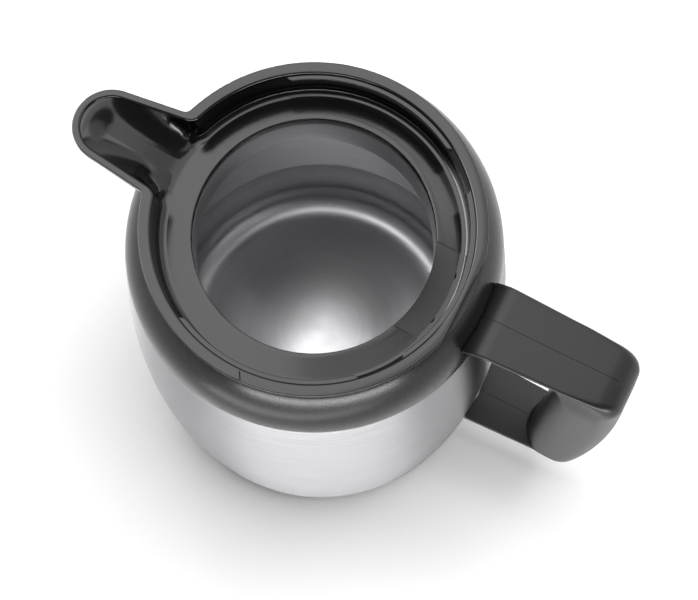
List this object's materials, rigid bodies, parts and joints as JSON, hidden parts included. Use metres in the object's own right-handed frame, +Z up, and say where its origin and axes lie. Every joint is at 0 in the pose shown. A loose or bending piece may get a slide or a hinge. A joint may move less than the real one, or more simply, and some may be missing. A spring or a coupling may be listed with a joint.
{
  "type": "coffee pot",
  "caption": "Insulated steel coffee pot with a plastic pouring collar and spout, an open mouth with bayonet lugs for a lid, and a hollow split handle on one side.",
  "frame": {"origin": "on the table under the middle of the base, on the axis of barrel and mouth", "axes": "+Z up along the pot's axis, +X towards the handle, -X towards the spout"},
  "size_m": [0.199, 0.1368, 0.1572],
  "materials": {
    "brushed_steel": "stainless steel, finely brushed round the barrel, satin sheen",
    "liner_steel": "drawn stainless steel, satin, faint turning rings on the floor",
    "plain_steel": "plain pressed stainless steel",
    "screw_steel": "zinc plated steel",
    "foil": "bright rolled foil",
    "seal_glass": "fused solder glass",
    "getter_alloy": "pressed metal powder, matt",
    "base_plastic": "moulded plastic, fine matt texture",
    "foot_rubber": "soft rubber, matt",
    "gasket_silicone": "black silicone, satin",
    "matte_black": "moulded plastic, fine matt spark texture",
    "collar_black": "moulded plastic, semi gloss"
  },
  "bodies": {
    "root": {"outer_shell": "brushed_steel", "liner_body": "liner_steel", "liner_cup": "liner_steel", "radiation_foil": "foil", "base_plate": "plain_steel", "vacuum_seal": "seal_glass", "getter_clip": "plain_steel", "getter": "getter_alloy", "base_cover": "base_plastic", "foot_ring": "foot_rubber", "neck_gasket": "gasket_silicone", "neck_ring": "plain_steel", "shoulder_band": "matte_black", "pouring_collar": "collar_black", "ledge_plate": "collar_black", "collar_screws": "screw_steel", "handle_left": "matte_black", "handle_right": "matte_black", "handle_pins": "screw_steel", "handle_bracket": "plain_steel", "tongue_screws": "screw_steel", "bracket_screws": "screw_steel"}
  },
  "joints": []
}
